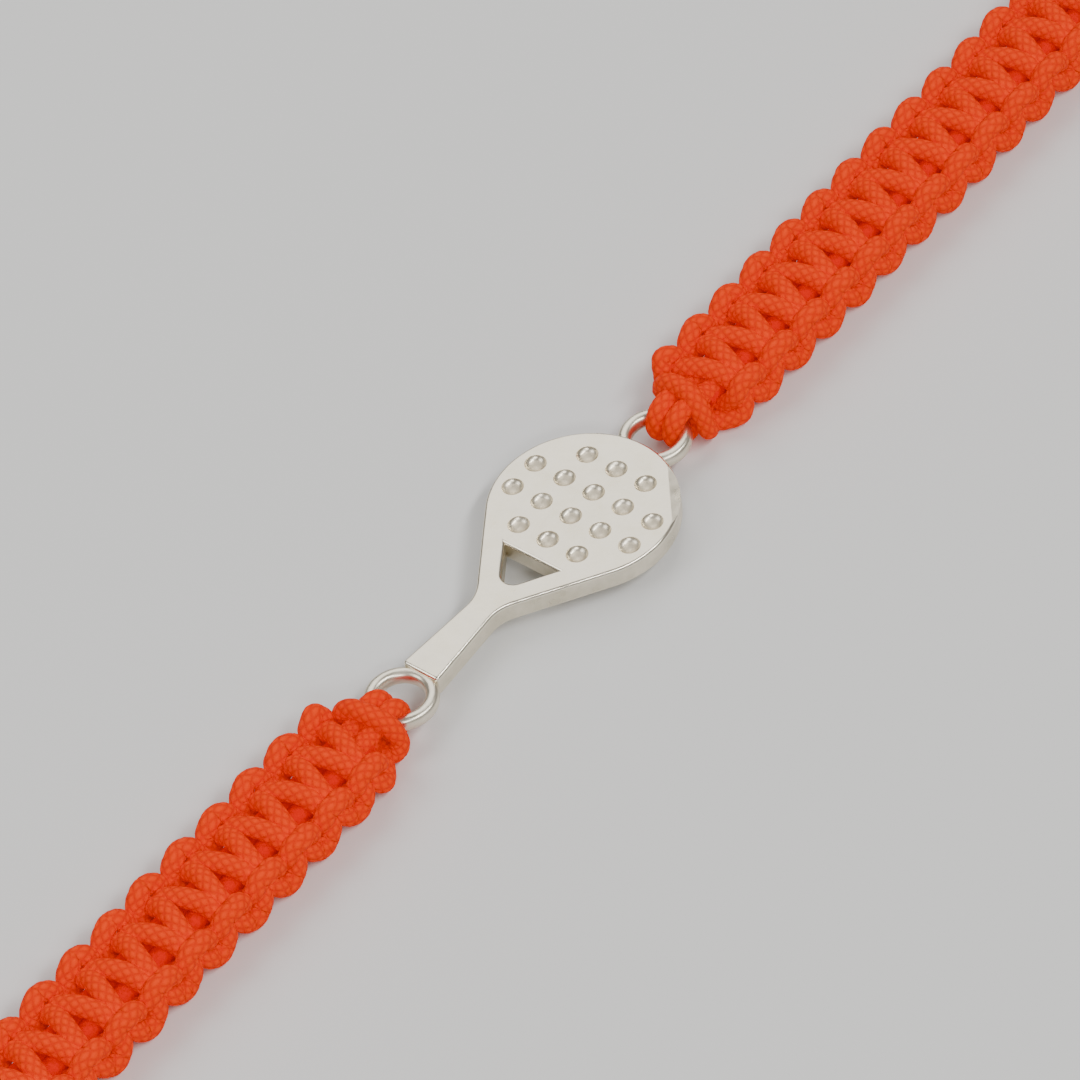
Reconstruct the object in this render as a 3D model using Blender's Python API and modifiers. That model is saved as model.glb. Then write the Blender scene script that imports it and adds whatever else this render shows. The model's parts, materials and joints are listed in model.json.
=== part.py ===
"""A knotted cord bracelet whose link is a small silver padel racket, laid out straight.

The racket's plate is the fixed piece. A cord band hangs on a ring at each end of it, and
each band is a row of short knotted segments that bend one after the other. The band on the
handle's side ends in a trigger clasp, and the band on the head's side in a short chain.
Each half is measured outwards from the centre of its own ring: "out" is the distance along
the band, "across" is its width, and up is +Z.
"""
from math import acos, atan2, cos, pi, radians, sin, sqrt, tan

import bmesh
import bpy
from mathutils import Matrix, Vector

MM = 0.001

# Racket plate
HEAD_RADIUS = 4.9 * MM
TAPER = radians(34)              # angle between the throat's sides and the long axis
HANDLE_REACH = 12.95 * MM        # head's centre to the handle's end
HANDLE_HALF_WIDTH = 1.12 * MM    # at the handle's end
HANDLE_FLARE = radians(4)        # how much each side of the handle opens towards its end
THROAT_RADIUS = 2.2 * MM
HANDLE_CORNER_RADIUS = 0.2 * MM
PLATE_THICKNESS = 1.2 * MM
PLATE_EDGE = 0.14 * MM
ARM_WIDTH = 1.2 * MM             # metal on each side of the throat's opening
OPENING_INSET = 0.8 * MM         # head's circle to the opening's straight edge
OPENING_CORNER_RADIUS = 0.65 * MM
DIMPLE_PITCH = 1.85 * MM
DIMPLE_RADIUS = 0.57 * MM
DIMPLE_DEPTH = 0.2 * MM
DIMPLE_ROWS = (3, 5, 5, 3)

# Rings on the plate
RING_RADIUS = 1.54 * MM          # to the middle of the wire
RING_WIRE_RADIUS = 0.36 * MM
HEAD_RING_SINK = 0.61 * MM       # how far the wire's middle line sinks into the head's outline
HANDLE_RING_SINK = 0.36 * MM     # how much of the wire is filed flat on the handle's end
SOLDER_GAP = 0.06 * MM

# Cord bands
CORD_WALL = 0.75 * MM            # flattened cord round the ring's wire
LOOP_SPREAD = radians(38)        # half of the ring's arc that the loops cover
CORD_CLEARANCE = 0.06 * MM
BIGHT_LENGTH = 0.8 * MM
BIGHT_WIDTH = 4.0 * MM
BIGHT_THICKNESS = 2.2 * MM
BIGHT_EDGE = 0.32 * MM
BAND_WIDTH = 5.6 * MM
BAND_THICKNESS = 3.0 * MM
KNOT_PITCH = 2.6 * MM
KNOTS_PER_SEGMENT = 4
SEGMENTS = 6
SEGMENT_GAP = 0.16 * MM          # lets the rounded ends of two segments roll on each other
CORE_WIDTH = 2.3 * MM
CORE_THICKNESS = 1.15 * MM

# End caps and their eyes
CAP_LENGTH = 4.6 * MM
CAP_EDGE = 0.35 * MM
TAIL_LENGTH = 3.4 * MM           # filler cord glued into the cap
EYE_RADIUS = 0.78 * MM
EYE_WIRE_RADIUS = 0.28 * MM
EYE_STAND_OFF = 0.72 * MM        # cap's end to the eye's centre

# Jump rings and chain
JUMP_RADIUS = 1.2 * MM
JUMP_WIRE_RADIUS = 0.28 * MM
LINK_CLEARANCE = 0.06 * MM
LINKS = 4
LINK_BOW_RADIUS = 1.05 * MM
LINK_STRAIGHT = 1.1 * MM
LINK_WIRE_RADIUS = 0.25 * MM
TAG_RADIUS = 1.8 * MM
TAG_THICKNESS = 0.8 * MM
TAG_HOLE_RADIUS = 0.45 * MM
TAG_RIM = 0.32 * MM

# Trigger clasp
CLASP_EYE_RADIUS = 0.85 * MM
CLASP_EYE_WIRE_RADIUS = 0.3 * MM
CLASP_THICKNESS = 2.0 * MM
HOOK_RADIUS = 2.35 * MM          # to the middle of the hook's metal
HOOK_WIDTH = 1.1 * MM
SHANK_LENGTH = 4.6 * MM          # clasp's eye to the hook's centre
SHANK_HALF_WIDTH = 0.9 * MM
SHANK_EDGE = 0.28 * MM
MOUTH_FROM = radians(30)         # hook's tip, turned from the clasp's long axis
LEVER_END = radians(18)          # lever's tip, which rests inside the hook's tip
LATCH_REACH = 4.02 * MM          # lever's tip swings this far from its pivot
PIVOT_AT = radians(140)
CHEEK_RADIUS = 1.0 * MM
SLOT_HEIGHT = 1.0 * MM
LEVER_CLEARANCE = 0.08 * MM
LEVER_SETBACK = 1.25             # lever's start, in cheek's radii from its pivot
TONGUE_LAP = 0.2                 # radians of tongue inside the lever
TONGUE_HALF_WIDTH = 0.33 * MM
HEEL_RADIUS = 0.55 * MM
TAB_WIDTH = 0.66 * MM
TAB_THICKNESS = 1.28 * MM
TAB_SETBACK = 0.25               # radians from the lever's start to the tab's middle
TAB_STAND_OFF = 0.22 * MM
LEVER_THICKNESS = 1.6 * MM
TONGUE_THICKNESS = 0.5 * MM
PIN_RADIUS = 0.3 * MM
SPRING_WIRE_RADIUS = 0.07 * MM
SPRING_TURNS = 1.5
SPRING_STEPS = 16                # points in one turn of the spring
SPRING_GAP = 0.02 * MM

# Heights above the surface that the bracelet lies on
BAND_HEIGHT = BAND_THICKNESS / 2
PLATE_HEIGHT = 1.3 * MM

MERGE = 0.001 * MM
SKIN = 0.002 * MM                # keeps the faces of two joined pieces out of one plane
THROUGH = 1.5                    # cutters are this much longer than what they cut through
SMOOTH_ANGLE = radians(40)
UPRIGHT = Matrix.Rotation(pi / 2, 4, 'X')    # stands a flat shape up along the band
COLLECTION = "padel_racket_bracelet"
SILVER = (0.78, 0.76, 0.73)
CORD = (1.0, 0.1, 0.01)
SATIN = 0.3                      # roughness of each finish
POLISHED = 0.25
DRAWN = 0.4
WOVEN = 0.6

# Places that follow from the sizes
OPENING_REACH = HEAD_RADIUS - OPENING_INSET
RING_REACH = RING_RADIUS + RING_WIRE_RADIUS
HEAD_RING_X = HEAD_RADIUS - HEAD_RING_SINK + RING_RADIUS
HANDLE_RING_X = HANDLE_RING_SINK - HANDLE_REACH - RING_REACH
LOOP_RADIUS = RING_WIRE_RADIUS + CORD_CLEARANCE + CORD_WALL
BIGHT_START = RING_RADIUS + LOOP_RADIUS + CORD_CLEARANCE
BAND_START = BIGHT_START + BIGHT_LENGTH + SEGMENT_GAP
SEGMENT_LENGTH = KNOT_PITCH * KNOTS_PER_SEGMENT
BAND_END = BAND_START + SEGMENTS * SEGMENT_LENGTH
CAP_END = BAND_END + CAP_LENGTH
EYE_OUT = CAP_END + EYE_STAND_OFF
JUMP_OUT = (EYE_OUT + EYE_RADIUS - EYE_WIRE_RADIUS - JUMP_WIRE_RADIUS - LINK_CLEARANCE
            + JUMP_RADIUS)


def clear_scene():
    for obj in list(bpy.data.objects):
        bpy.data.objects.remove(obj, do_unlink=True)


def new_collection(name):
    found = bpy.data.collections.get(name)
    if found:
        bpy.data.collections.remove(found)
    collection = bpy.data.collections.new(name)
    bpy.context.scene.collection.children.link(collection)
    return collection


def move_to(obj, collection):
    for old in list(obj.users_collection):
        old.objects.unlink(obj)
    collection.objects.link(obj)


def make_material(name, colour, roughness, metallic):
    material = bpy.data.materials.new(name)
    material.use_nodes = True
    shader = material.node_tree.nodes["Principled BSDF"]
    shader.inputs["Base Color"].default_value = (*colour, 1.0)
    shader.inputs["Roughness"].default_value = roughness
    shader.inputs["Metallic"].default_value = metallic
    return material


class Bench:
    """The two collections that pieces and cutters are made in."""

    def __init__(self):
        self.parts = new_collection(COLLECTION)
        self.cutters = new_collection("cutters")

    def finish(self, obj, name, colour, roughness, metallic=0.0):
        """Name a piece, give it its own material and file it with the parts."""
        obj.name = name
        obj.data.name = name
        obj.data.materials.clear()
        obj.data.materials.append(make_material(name, colour, roughness, metallic))
        obj.data.shade_smooth()
        obj.data.set_sharp_from_angle(angle=SMOOTH_ANGLE)
        move_to(obj, self.parts)
        return obj

    def silver(self, obj, name, roughness=POLISHED):
        return self.finish(obj, name, SILVER, roughness, 1.0)

    def cord(self, obj, name):
        return self.finish(obj, name, CORD, WOVEN)

    def cutter(self, obj, name):
        obj.name = name
        obj.display_type = 'WIRE'
        obj.hide_render = True
        move_to(obj, self.cutters)
        return obj


def boolean(obj, other, operation='DIFFERENCE', solver='EXACT'):
    modifier = obj.modifiers.new(operation.lower(), 'BOOLEAN')
    modifier.operation = operation
    modifier.solver = solver
    modifier.object = other


def bevel(obj, width, segments=2, angle=radians(50)):
    modifier = obj.modifiers.new("edges", 'BEVEL')
    modifier.width = width
    modifier.segments = segments
    modifier.limit_method = 'ANGLE'
    modifier.angle_limit = angle


def new_object(name, data):
    obj = bpy.data.objects.new(name, data)
    bpy.context.scene.collection.objects.link(obj)
    return obj


def curve_to_mesh(curve_object):
    """Swap a curve object for a welded mesh object in the same place."""
    bpy.context.view_layer.update()
    graph = bpy.context.evaluated_depsgraph_get()
    mesh = bpy.data.meshes.new_from_object(curve_object.evaluated_get(graph))
    work = bmesh.new()
    work.from_mesh(mesh)
    bmesh.ops.remove_doubles(work, verts=work.verts, dist=MERGE)
    bmesh.ops.recalc_face_normals(work, faces=work.faces)
    work.to_mesh(mesh)
    work.free()
    obj = new_object(curve_object.name, mesh)
    obj.matrix_world = curve_object.matrix_world
    bpy.data.objects.remove(curve_object, do_unlink=True)
    return obj


def add_spline(curve, points, closed):
    spline = curve.splines.new('POLY')
    spline.points.add(len(points) - 1)
    for point, place in zip(spline.points, points):
        point.co = (*place, 1.0) if len(place) == 3 else (*place, 0.0, 1.0)
    spline.use_cyclic_u = closed


def flat_piece(name, loops, thickness):
    """A plate with the given outline, and an opening for each further loop."""
    curve = bpy.data.curves.new(name, 'CURVE')
    curve.dimensions = '2D'
    curve.fill_mode = 'BOTH'
    curve.extrude = thickness / 2
    for loop in loops:
        add_spline(curve, loop, True)
    return curve_to_mesh(new_object(name, curve))


def wire_piece(name, points, radius, closed, resolution=2):
    """A wire of round section along the given points."""
    curve = bpy.data.curves.new(name, 'CURVE')
    curve.dimensions = '3D'
    curve.bevel_depth = radius
    curve.bevel_resolution = resolution
    curve.use_fill_caps = not closed
    add_spline(curve, points, closed)
    return curve_to_mesh(new_object(name, curve))


def box(name, length, width, height):
    bpy.ops.mesh.primitive_cube_add(size=1)
    obj = bpy.context.object
    obj.name = name
    obj.scale = (length, width, height)
    bpy.ops.object.transform_apply(location=False, rotation=False, scale=True)
    return obj


def cylinder(name, radius, height, sides=24):
    bpy.ops.mesh.primitive_cylinder_add(vertices=sides, radius=radius, depth=height)
    obj = bpy.context.object
    obj.name = name
    return obj


def torus(name, radius, wire_radius, steps=32, sides=10):
    bpy.ops.mesh.primitive_torus_add(major_segments=steps, minor_segments=sides,
                                     major_radius=radius, minor_radius=wire_radius)
    obj = bpy.context.object
    obj.name = name
    return obj


def arc(centre, radius, start, end, steps):
    """Points along an arc in the plane, from one angle to another."""
    turns = [start + (end - start) * i / steps for i in range(steps + 1)]
    return [(centre[0] + radius * cos(t), centre[1] + radius * sin(t)) for t in turns]


def rounded_corner(before, corner, after, radius, steps=6):
    """The arc that takes the place of a corner between two straight lines."""
    corner = Vector(corner)
    to_before = (Vector(before) - corner).normalized()
    to_after = (Vector(after) - corner).normalized()
    half = to_before.angle(to_after) / 2
    start = corner + to_before * radius / tan(half)
    end = corner + to_after * radius / tan(half)
    centre = corner + (to_before + to_after).normalized() * radius / sin(half)
    first = start - centre
    turn = first.angle_signed(end - centre)
    points = []
    for i in range(steps + 1):
        step = -turn * i / steps
        points.append((centre.x + first.x * cos(step) - first.y * sin(step),
                       centre.y + first.x * sin(step) + first.y * cos(step)))
    return points


def mirrored(half):
    """Close an outline whose half starts on the long axis with its other side."""
    return half + [(x, -y) for x, y in reversed(half) if abs(y) > MERGE]


# Racket plate ------------------------------------------------------------------------------

def racket_outline():
    """The head is a circle, its sides run straight to the throat, and the handle flares."""
    side = pi / 2 + TAPER
    leave = Vector((HEAD_RADIUS * cos(side), HEAD_RADIUS * sin(side)))
    end = Vector((-HANDLE_REACH, HANDLE_HALF_WIDTH))
    # The throat's corner is where the side's line meets the handle's line.
    along = Vector((-cos(TAPER), -sin(TAPER)))
    back = Vector((cos(HANDLE_FLARE), -sin(HANDLE_FLARE)))
    apart = end - leave
    reach = (apart.x * back.y - apart.y * back.x) / (along.x * back.y - along.y * back.x)
    throat = leave + along * reach
    half = arc((0, 0), HEAD_RADIUS, 0, side, 22)
    half += rounded_corner(leave, throat, end, THROAT_RADIUS)
    half += rounded_corner(throat, end, (-HANDLE_REACH, 0), HANDLE_CORNER_RADIUS, 3)
    return mirrored(half)


def throat_opening():
    """A straight edge towards the head, and arms of one width on the other sides."""
    tip = (-(HEAD_RADIUS - ARM_WIDTH) / sin(TAPER), 0)
    corner = (-OPENING_REACH, -(OPENING_REACH + tip[0]) * tan(TAPER))
    half = [(-OPENING_REACH, 0), corner]
    bottom = rounded_corner(corner, tip, (corner[0], -corner[1]), OPENING_CORNER_RADIUS, 8)
    half += bottom[:len(bottom) // 2 + 1]
    return mirrored(half)


def dimple_places():
    rows = len(DIMPLE_ROWS)
    for row, count in enumerate(DIMPLE_ROWS):
        along = ((rows - 1) / 2 - row) * DIMPLE_PITCH
        for i in range(count):
            yield along, (i - (count - 1) / 2) * DIMPLE_PITCH


def make_plate(bench):
    plate = flat_piece("racket_plate", [racket_outline(), throat_opening()], PLATE_THICKNESS)
    bevel(plate, PLATE_EDGE, angle=radians(60))
    work = bmesh.new()
    for along, across in dimple_places():
        # An odd number of rings keeps the balls' points off the plate's own face.
        made = bmesh.ops.create_uvsphere(work, u_segments=12, v_segments=7, radius=DIMPLE_RADIUS)
        bmesh.ops.scale(work, verts=made["verts"], vec=(1, 1, DIMPLE_DEPTH / DIMPLE_RADIUS))
        bmesh.ops.translate(work, verts=made["verts"], vec=(along, across, PLATE_THICKNESS / 2))
    mesh = bpy.data.meshes.new("dimples")
    work.to_mesh(mesh)
    work.free()
    dimples = bench.cutter(new_object("dimples", mesh), "dimples")
    # The exact solver loses a plate that is already bevelled, and both meshes are closed.
    boolean(plate, dimples, solver='MANIFOLD')
    plate.location.z = PLATE_HEIGHT
    dimples.location.z = PLATE_HEIGHT
    bench.silver(plate, "racket_plate", SATIN)


def make_plate_rings(bench):
    head_ring = torus("head_ring", RING_RADIUS, RING_WIRE_RADIUS)
    head_ring.location = (HEAD_RING_X, 0, PLATE_HEIGHT)
    seat = cylinder("head_seat", HEAD_RADIUS + SOLDER_GAP, PLATE_THICKNESS * THROUGH, 96)
    seat.location.z = PLATE_HEIGHT
    boolean(head_ring, bench.cutter(seat, "head_seat"))
    bench.silver(head_ring, "head_ring")
    handle_ring = torus("handle_ring", RING_RADIUS, RING_WIRE_RADIUS)
    handle_ring.location = (HANDLE_RING_X, 0, PLATE_HEIGHT)
    block = box("handle_seat", HANDLE_REACH, RING_REACH * 3, PLATE_THICKNESS * 2)
    block.location = (-HANDLE_REACH / 2 - SOLDER_GAP, 0, PLATE_HEIGHT)
    boolean(handle_ring, bench.cutter(block, "handle_seat"))
    bench.silver(handle_ring, "handle_ring")


# Halves of the bracelet --------------------------------------------------------------------

class Side:
    """One half of the bracelet. Its empties carry the joints, each on its own axis."""

    def __init__(self, name, ring_x, turn):
        self.name = name
        self.places = {}
        root = bpy.data.objects.new(f"{name}_turn", None)
        bpy.context.scene.collection.objects.link(root)
        root.location = (ring_x, 0, 0)
        root.rotation_euler.z = turn
        self.root = root
        self.places[root] = Vector((0, 0, 0))

    def joint(self, name, parent, out, height=BAND_HEIGHT, across=0.0):
        empty = bpy.data.objects.new(name, None)
        bpy.context.scene.collection.objects.link(empty)
        place = Vector((out, across, height))
        empty.parent = parent
        empty.location = place - self.places[parent]
        self.places[empty] = place
        return empty

    def put(self, obj, parent, out, height=BAND_HEIGHT, across=0.0):
        obj.parent = parent
        obj.location = Vector((out, across, height)) - self.places[parent]


def make_loops(bench, side):
    """The cord's loops are a sleeve on the ring's wire, and slide round it."""
    path = [(x, y, 0) for x, y in arc((0, 0), RING_RADIUS, -LOOP_SPREAD, LOOP_SPREAD, 8)]
    loops = wire_piece(f"{side.name}_loops", path, LOOP_RADIUS, False, 3)
    wire = torus("wire_space", RING_RADIUS, RING_WIRE_RADIUS + CORD_CLEARANCE)
    bench.cutter(wire, f"{side.name}_wire_space")
    side.put(loops, side.root, 0, PLATE_HEIGHT)
    side.put(wire, side.root, 0, PLATE_HEIGHT)
    boolean(loops, wire)
    bench.cord(loops, f"{side.name}_loops")
    bight = box("bight", BIGHT_LENGTH, BIGHT_WIDTH, BIGHT_THICKNESS)
    bevel(bight, BIGHT_EDGE)
    side.put(bight, side.root, BIGHT_START + BIGHT_LENGTH / 2, (PLATE_HEIGHT + BAND_HEIGHT) / 2)
    bench.cord(bight, f"{side.name}_bight")


def segment_profile():
    """Seen from the side, a segment ends in half circles that roll on its neighbours."""
    radius = BAND_THICKNESS / 2
    half = (SEGMENT_LENGTH - SEGMENT_GAP) / 2 - radius
    return (arc((half, 0), radius, -pi / 2, pi / 2, 10)
            + arc((-half, 0), radius, pi / 2, 3 * pi / 2, 10))


def make_segment(bench, side, number, parent):
    middle = BAND_START + (number - 0.5) * SEGMENT_LENGTH
    cover = flat_piece("cover", [segment_profile()], BAND_WIDTH)
    cover.data.transform(UPRIGHT)
    hole = box("core_space", SEGMENT_LENGTH * THROUGH, CORE_WIDTH + 2 * CORD_CLEARANCE,
               CORE_THICKNESS + 2 * CORD_CLEARANCE)
    bench.cutter(hole, f"{side.name}_core_space_{number}")
    side.put(cover, parent, middle)
    side.put(hole, parent, middle)
    boolean(cover, hole)
    bench.cord(cover, f"{side.name}_knots_{number}")
    tail = TAIL_LENGTH if number == SEGMENTS else 0.0
    core_length = SEGMENT_LENGTH - BAND_THICKNESS / 2 - SEGMENT_GAP
    core = box("core", core_length + tail, CORE_WIDTH, CORE_THICKNESS)
    if tail:
        core.data.transform(Matrix.Translation((tail / 2 + BAND_THICKNESS / 4, 0, 0)))
    side.put(core, parent, middle)
    bench.cord(core, f"{side.name}_core_{number}")


def make_cap(bench, side, parent):
    cap = box("cap", CAP_LENGTH, BAND_WIDTH, BAND_THICKNESS)
    bevel(cap, CAP_EDGE, 3)
    pocket_length = TAIL_LENGTH + BAND_THICKNESS / 4
    pocket = box("pocket", pocket_length * 2, CORE_WIDTH + 2 * CORD_CLEARANCE,
                 CORE_THICKNESS + 2 * CORD_CLEARANCE)
    bench.cutter(pocket, f"{side.name}_pocket")
    eye = torus("eye", EYE_RADIUS, EYE_WIRE_RADIUS, 24, 8)
    bench.cutter(eye, f"{side.name}_eye")
    middle = (BAND_END + CAP_END) / 2
    side.put(cap, parent, middle)
    side.put(pocket, parent, BAND_END)
    side.put(eye, parent, EYE_OUT)
    boolean(cap, pocket)
    boolean(cap, eye, 'UNION')
    bench.silver(cap, f"{side.name}_end_cap")


def make_band(bench, side):
    """A row of segments, each hinged on the one before. The last one holds the end cap."""
    make_loops(bench, side)
    parent = side.root
    for number in range(1, SEGMENTS + 1):
        hinge = BAND_START + (number - 1) * SEGMENT_LENGTH
        parent = side.joint(f"{side.name}_bend_{number}", parent, hinge)
        make_segment(bench, side, number, parent)
    make_cap(bench, side, parent)
    return parent


def make_jump_ring(bench, side, name, parent):
    """An upright ring that swings on the cap's eye."""
    swing = side.joint(f"{name}_swing", parent, EYE_OUT + EYE_RADIUS)
    ring = torus(name, JUMP_RADIUS, JUMP_WIRE_RADIUS)
    ring.data.transform(UPRIGHT)
    side.put(ring, swing, JUMP_OUT)
    bench.silver(ring, name)
    return swing


def link_path(upright):
    half = LINK_STRAIGHT / 2
    loop = (arc((half, 0), LINK_BOW_RADIUS, -pi / 2, pi / 2, 10)
            + arc((-half, 0), LINK_BOW_RADIUS, pi / 2, 3 * pi / 2, 10))
    return [(x, 0, y) if upright else (x, y, 0) for x, y in loop]


def make_chain(bench, side, parent):
    """Oval links lie flat and upright in turn, and each swings on the bow of the last."""
    swing = make_jump_ring(bench, side, "chain_jump_ring", parent)
    bow = JUMP_OUT + JUMP_RADIUS
    wire = JUMP_WIRE_RADIUS
    for number in range(1, LINKS + 1):
        swing = side.joint(f"link_{number}_swing", swing, bow)
        near = bow - wire - LINK_WIRE_RADIUS - LINK_CLEARANCE
        middle = near + LINK_BOW_RADIUS + LINK_STRAIGHT / 2
        link = wire_piece(f"chain_link_{number}", link_path(number % 2 == 0),
                          LINK_WIRE_RADIUS, True)
        side.put(link, swing, middle)
        bench.silver(link, f"chain_link_{number}")
        bow = middle + LINK_BOW_RADIUS + LINK_STRAIGHT / 2
        wire = LINK_WIRE_RADIUS
    make_tag(bench, side, swing, bow)


def make_tag(bench, side, parent, bow):
    """A round tag ends the chain. It lies flat, on the last upright link."""
    swing = side.joint("tag_swing", parent, bow)
    hole_out = TAG_RADIUS - TAG_RIM - TAG_HOLE_RADIUS
    hole = arc((-hole_out, 0), TAG_HOLE_RADIUS, 0, 2 * pi, 16)[:-1]
    rim = arc((0, 0), TAG_RADIUS, 0, 2 * pi, 32)[:-1]
    tag = flat_piece("tag", [rim, hole], TAG_THICKNESS)
    side.put(tag, swing, bow - LINK_WIRE_RADIUS - LINK_CLEARANCE - TAG_RIM + TAG_RADIUS)
    bench.silver(tag, "chain_tag")


# Trigger clasp -----------------------------------------------------------------------------

def hook_outline():
    """The hook is most of a ring. It joins the cheeks at the pivot and ends at the mouth."""
    outer = HOOK_RADIUS + HOOK_WIDTH / 2
    inner = HOOK_RADIUS - HOOK_WIDTH / 2
    end = PIVOT_AT - 2 * pi
    reach = LATCH_REACH + LEVER_CLEARANCE
    hollow = latch_angle(inner, reach)
    return (arc((0, 0), outer, MOUTH_FROM, end, 30) + arc((0, 0), inner, end, hollow, 20)[:-1]
            + latch_arc(hollow, MOUTH_FROM, reach))


def pivot_place():
    return HOOK_RADIUS * cos(PIVOT_AT), HOOK_RADIUS * sin(PIVOT_AT)


def latch_angle(radius, reach):
    """Where a circle round the hook's centre is this far from the pivot."""
    return PIVOT_AT - acos((radius ** 2 + HOOK_RADIUS ** 2 - reach ** 2)
                           / (2 * radius * HOOK_RADIUS))


def latch_arc(start, end, reach):
    """The lever's tip and the hook's hollow tip both follow a circle about the pivot."""
    x, y = pivot_place()
    turns = []
    for angle in (start, end):
        along = HOOK_RADIUS * cos(PIVOT_AT - angle)
        aside = HOOK_RADIUS * sin(PIVOT_AT - angle)
        radius = along + sqrt(reach ** 2 - aside ** 2)
        turns.append(atan2(radius * sin(angle) - y, radius * cos(angle) - x))
    return arc((x, y), reach, turns[0], turns[1], 6)


def make_clasp(bench, side, parent):
    """The clasp hangs on its jump ring, and its sprung lever closes the hook's mouth."""
    ring = make_jump_ring(bench, side, "clasp_jump_ring", parent)
    bow = JUMP_OUT + JUMP_RADIUS
    swing = side.joint("clasp_swing", ring, bow)
    eye_out = (bow - JUMP_WIRE_RADIUS - CLASP_EYE_WIRE_RADIUS - LINK_CLEARANCE
               + CLASP_EYE_RADIUS)
    hook_out = eye_out + SHANK_LENGTH
    body = flat_piece("clasp_body", [hook_outline()], CLASP_THICKNESS)
    pivot = pivot_place()
    cheek = cylinder("cheek", CHEEK_RADIUS, CLASP_THICKNESS - SKIN)
    shank_length = SHANK_LENGTH - HOOK_RADIUS - CLASP_EYE_RADIUS + HOOK_WIDTH / 4
    shank = box("shank", shank_length, 2 * SHANK_HALF_WIDTH, CLASP_THICKNESS - 10 * SKIN)
    bevel(shank, SHANK_EDGE)
    eye = torus("clasp_eye", CLASP_EYE_RADIUS, CLASP_EYE_WIRE_RADIUS, 24, 8)
    # The lever's slot is open on the mouth's side, and the pin's hole runs through both cheeks.
    slot = cylinder("slot", CHEEK_RADIUS + LEVER_CLEARANCE, SLOT_HEIGHT)
    pin_hole = cylinder("pin_hole", PIN_RADIUS + LEVER_CLEARANCE, CLASP_THICKNESS * THROUGH, 16)
    side.put(body, swing, hook_out)
    joined = ((cheek, pivot, 'UNION'), (shank, (-HOOK_RADIUS - shank_length / 2, 0), 'UNION'),
              (eye, (-SHANK_LENGTH, 0), 'UNION'), (slot, pivot, 'DIFFERENCE'),
              (pin_hole, pivot, 'DIFFERENCE'))
    for tool, place, operation in joined:
        bench.cutter(tool, f"clasp_{tool.name}")
        side.put(tool, swing, hook_out + place[0], across=place[1])
        boolean(body, tool, operation)
    bench.silver(body, "clasp_body")
    hinge = side.joint("clasp_lever_turn", swing, hook_out + pivot[0], across=pivot[1])
    make_lever(bench, side, hinge, hook_out, pivot)
    pin = cylinder("clasp_pin", PIN_RADIUS, CLASP_THICKNESS, 16)
    side.put(pin, swing, hook_out + pivot[0], across=pivot[1])
    bench.silver(pin, "clasp_pin")
    spring = make_spring()
    side.put(spring, swing, hook_out + pivot[0], across=pivot[1])
    bench.silver(spring, "clasp_spring", DRAWN)


def make_lever(bench, side, hinge, hook_out, pivot):
    """An arc that closes the mouth, a thumb tab on its back, and a tongue round the pin."""
    outer = HOOK_RADIUS + HOOK_WIDTH / 2
    inner = HOOK_RADIUS - HOOK_WIDTH / 2
    start = PIVOT_AT - LEVER_SETBACK * CHEEK_RADIUS / HOOK_RADIUS
    meet = latch_angle(outer, LATCH_REACH)
    outline = (arc((0, 0), outer, start, meet, 12)[:-1] + latch_arc(meet, LEVER_END, LATCH_REACH)
               + arc((0, 0), inner, LEVER_END, start, 12))
    lever = flat_piece("clasp_lever", [[(x - pivot[0], y - pivot[1]) for x, y in outline]],
                       LEVER_THICKNESS)
    side.put(lever, hinge, hook_out + pivot[0], across=pivot[1])
    lap = start - TONGUE_LAP
    bridge = [(x - pivot[0], y - pivot[1]) for x, y in
              arc((0, 0), HOOK_RADIUS + TONGUE_HALF_WIDTH, PIVOT_AT, lap, 6)
              + arc((0, 0), HOOK_RADIUS - TONGUE_HALF_WIDTH, lap, PIVOT_AT, 6)]
    tongue = flat_piece("tongue", [bridge], TONGUE_THICKNESS)
    heel = cylinder("heel", HEEL_RADIUS, TONGUE_THICKNESS - SKIN)
    tab = box("tab", TAB_WIDTH, HOOK_WIDTH, TAB_THICKNESS)
    hole = cylinder("lever_hole", PIN_RADIUS + LEVER_CLEARANCE, CLASP_THICKNESS * THROUGH, 16)
    tab_at = start - TAB_SETBACK
    tab_radius = outer + TAB_STAND_OFF
    tab_place = (tab_radius * cos(tab_at), tab_radius * sin(tab_at))
    tab.rotation_euler.z = tab_at - pi / 2
    low = (TONGUE_THICKNESS - SLOT_HEIGHT) / 2 + LEVER_CLEARANCE
    joined = ((tongue, pivot, low, 'UNION'), (heel, pivot, low, 'UNION'),
              (tab, tab_place, 0.0, 'UNION'), (hole, pivot, 0.0, 'DIFFERENCE'))
    for tool, place, height, operation in joined:
        bench.cutter(tool, f"lever_{tool.name}")
        side.put(tool, hinge, hook_out + place[0], BAND_HEIGHT + height, place[1])
        boolean(lever, tool, operation)
    bench.silver(lever, "clasp_lever")


def make_spring():
    """A coil round the pin, above the lever's tongue in the slot."""
    radius = PIN_RADIUS + LEVER_CLEARANCE + 2 * SPRING_WIRE_RADIUS
    low = -SLOT_HEIGHT / 2 + TONGUE_THICKNESS + 2 * LEVER_CLEARANCE + SPRING_WIRE_RADIUS
    pitch = 2 * SPRING_WIRE_RADIUS + SPRING_GAP
    steps = int(SPRING_TURNS * SPRING_STEPS)
    points = []
    for i in range(steps + 1):
        turn = 2 * pi * i / SPRING_STEPS
        points.append((radius * cos(turn), radius * sin(turn), low + pitch * i / SPRING_STEPS))
    return wire_piece("clasp_spring", points, SPRING_WIRE_RADIUS, False, 1)


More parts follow.
